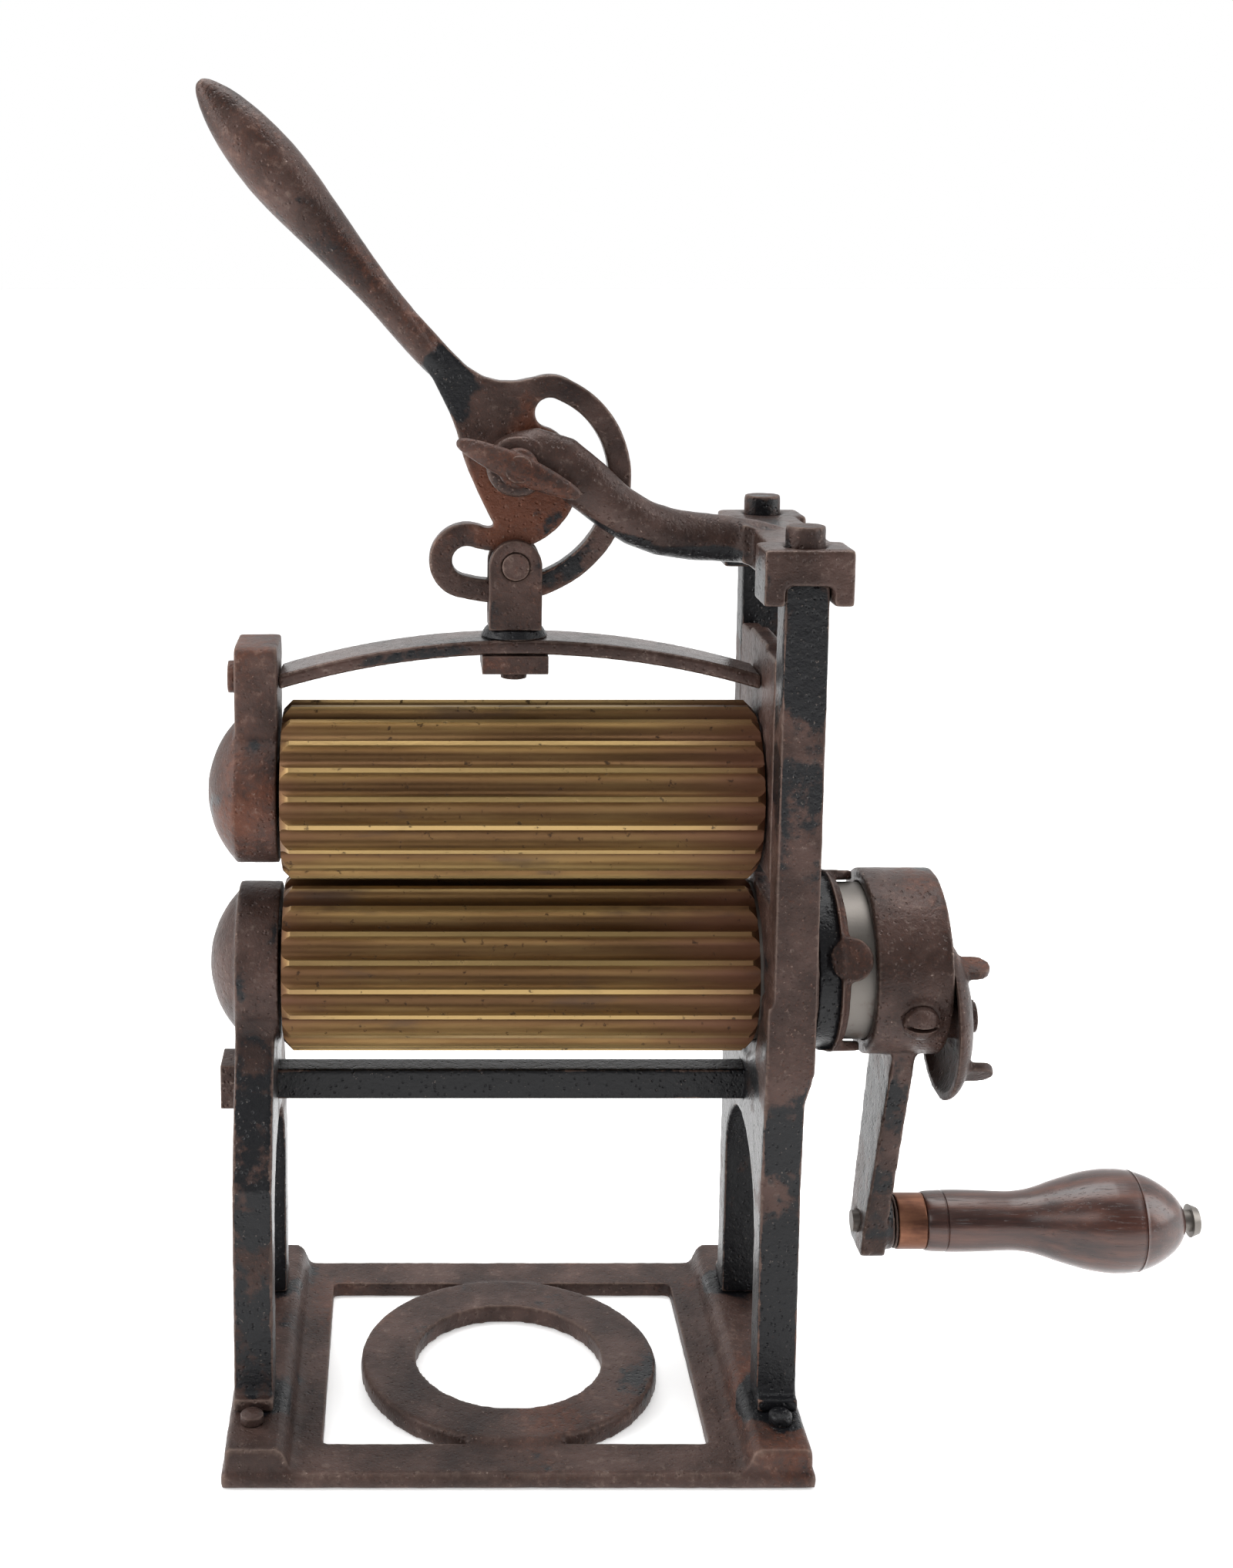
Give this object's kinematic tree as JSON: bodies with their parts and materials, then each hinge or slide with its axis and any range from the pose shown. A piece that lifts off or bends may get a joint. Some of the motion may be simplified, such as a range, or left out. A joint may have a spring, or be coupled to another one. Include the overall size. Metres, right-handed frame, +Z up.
{
  "type": "hand-cranked fluting press",
  "caption": "Cast-iron bench press with two fluted brass rolls, a cam lever that raises the upper roll and a side crank with a turned wooden grip.",
  "frame": {"origin": "centre of the base on its underside, on the axis of the ring in the base", "axes": "+X along the rolls towards the crank, +Y to the back, +Z up"},
  "size_m": [0.3778, 0.151, 0.491],
  "materials": {
    "cast_iron": "brown rust-patinated cast iron with worn black japan",
    "black_iron": "worn black japan over iron",
    "brass": "dull aged brass",
    "steel": "dull grey steel",
    "wood": "dark red-brown varnished hardwood",
    "copper": "tarnished copper-coloured brass"
  },
  "bodies": {
    "stand": {"base_frame": "cast_iron", "left_standard": "black_iron", "right_standard": "black_iron", "tie_bar": "black_iron", "tie_nuts": "cast_iron", "foot_bolts": "black_iron", "bridge_arm": "cast_iron", "thrust_nut": "cast_iron", "pivot_bolt": "cast_iron"},
    "carriage": {"arched_bar": "cast_iron", "bar_screws": "cast_iron", "left_bearing_block": "cast_iron", "right_bearing_block": "cast_iron", "lift_link": "cast_iron", "link_pin": "cast_iron", "link_washer": "black_iron", "link_nut": "cast_iron"},
    "top_roll": {"upper_roll": "brass", "upper_shaft": "steel"},
    "crank": {"lower_roll": "brass", "lower_shaft": "steel", "crank_arm": "cast_iron", "crank_screw": "cast_iron", "end_plate": "cast_iron", "end_plate_screw": "cast_iron", "grip_spindle": "steel", "spindle_washer": "cast_iron"},
    "hand_grip": {"grip": "wood", "grip_ferrule": "copper"},
    "lever": {"cam_lever": "cast_iron"},
    "clamp_nut": {"wing_nut": "cast_iron"}
  },
  "joints": [
    {"name": "lever_swing", "type": "hinge", "parent": "stand", "child": "lever", "pos_m": [0, 0, 0.355], "axis": [0, 1, 0], "range_deg": [-20, 120]},
    {"name": "carriage_lift", "type": "slide", "parent": "stand", "child": "carriage", "axis": [0, 0, 1], "range_m": [-0.00215, 0.01265]},
    {"name": "crank_turn", "type": "hinge", "parent": "stand", "child": "crank", "pos_m": [0, 0, 0.167], "axis": [1, 0, 0], "continuous": true},
    {"name": "top_roll_turn", "type": "hinge", "parent": "carriage", "child": "top_roll", "pos_m": [0, 0, 0.233], "axis": [1, 0, 0], "continuous": true},
    {"name": "grip_spin", "type": "hinge", "parent": "crank", "child": "hand_grip", "pos_m": [0.2, 0, 0.0625], "axis": [1, 0, 0], "continuous": true},
    {"name": "clamp_nut_turn", "type": "hinge", "parent": "stand", "child": "clamp_nut", "pos_m": [0, -0.022, 0.355], "axis": [0, -1, 0], "range_deg": [0, 180]}
  ],
  "couplings": [
    {"joint": "carriage_lift", "follows": "lever_swing", "m_per_rad": 0.0060161},
    {"joint": "top_roll_turn", "follows": "crank_turn", "ratio": -1}
  ]
}
